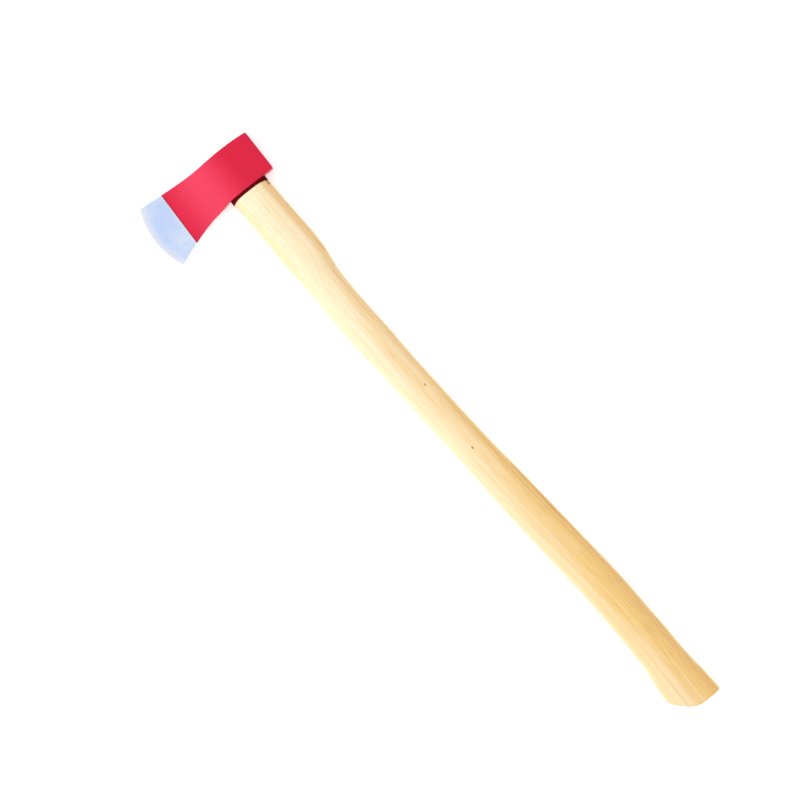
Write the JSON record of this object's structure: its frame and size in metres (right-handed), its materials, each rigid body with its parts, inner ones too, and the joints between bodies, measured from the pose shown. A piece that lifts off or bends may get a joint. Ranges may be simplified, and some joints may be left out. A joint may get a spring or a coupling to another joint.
{
  "type": "fire axe",
  "caption": "Flat-head fire axe: forged steel head with a flat poll, red enamel and a bare ground bit, wedged on a curved ash handle with a flared foot.",
  "frame": {"origin": "middle of the underside of the axe's box, with the axe lying on its cheek", "axes": "+X up the handle to the head, +Y towards the cutting edge, +Z the thickness, out of the upper cheek"},
  "size_m": [0.915, 0.209, 0.032],
  "materials": {
    "head_enamel": "satin red stoving enamel; the bit beyond the paint line is bare ground steel",
    "handle_ash": "sanded ash under a clear satin varnish",
    "seal_rubber": "matt dark red butyl sealant",
    "wedge_hardwood": "sawn dark oak",
    "wedge_steel": "rolled mild steel"
  },
  "bodies": {
    "root": {"axe_head": "head_enamel", "handle": "handle_ash", "shoulder_seal": "seal_rubber", "kerf_wedge": "wedge_hardwood", "steel_wedge_front": "wedge_steel", "steel_wedge_rear": "wedge_steel"}
  },
  "joints": []
}
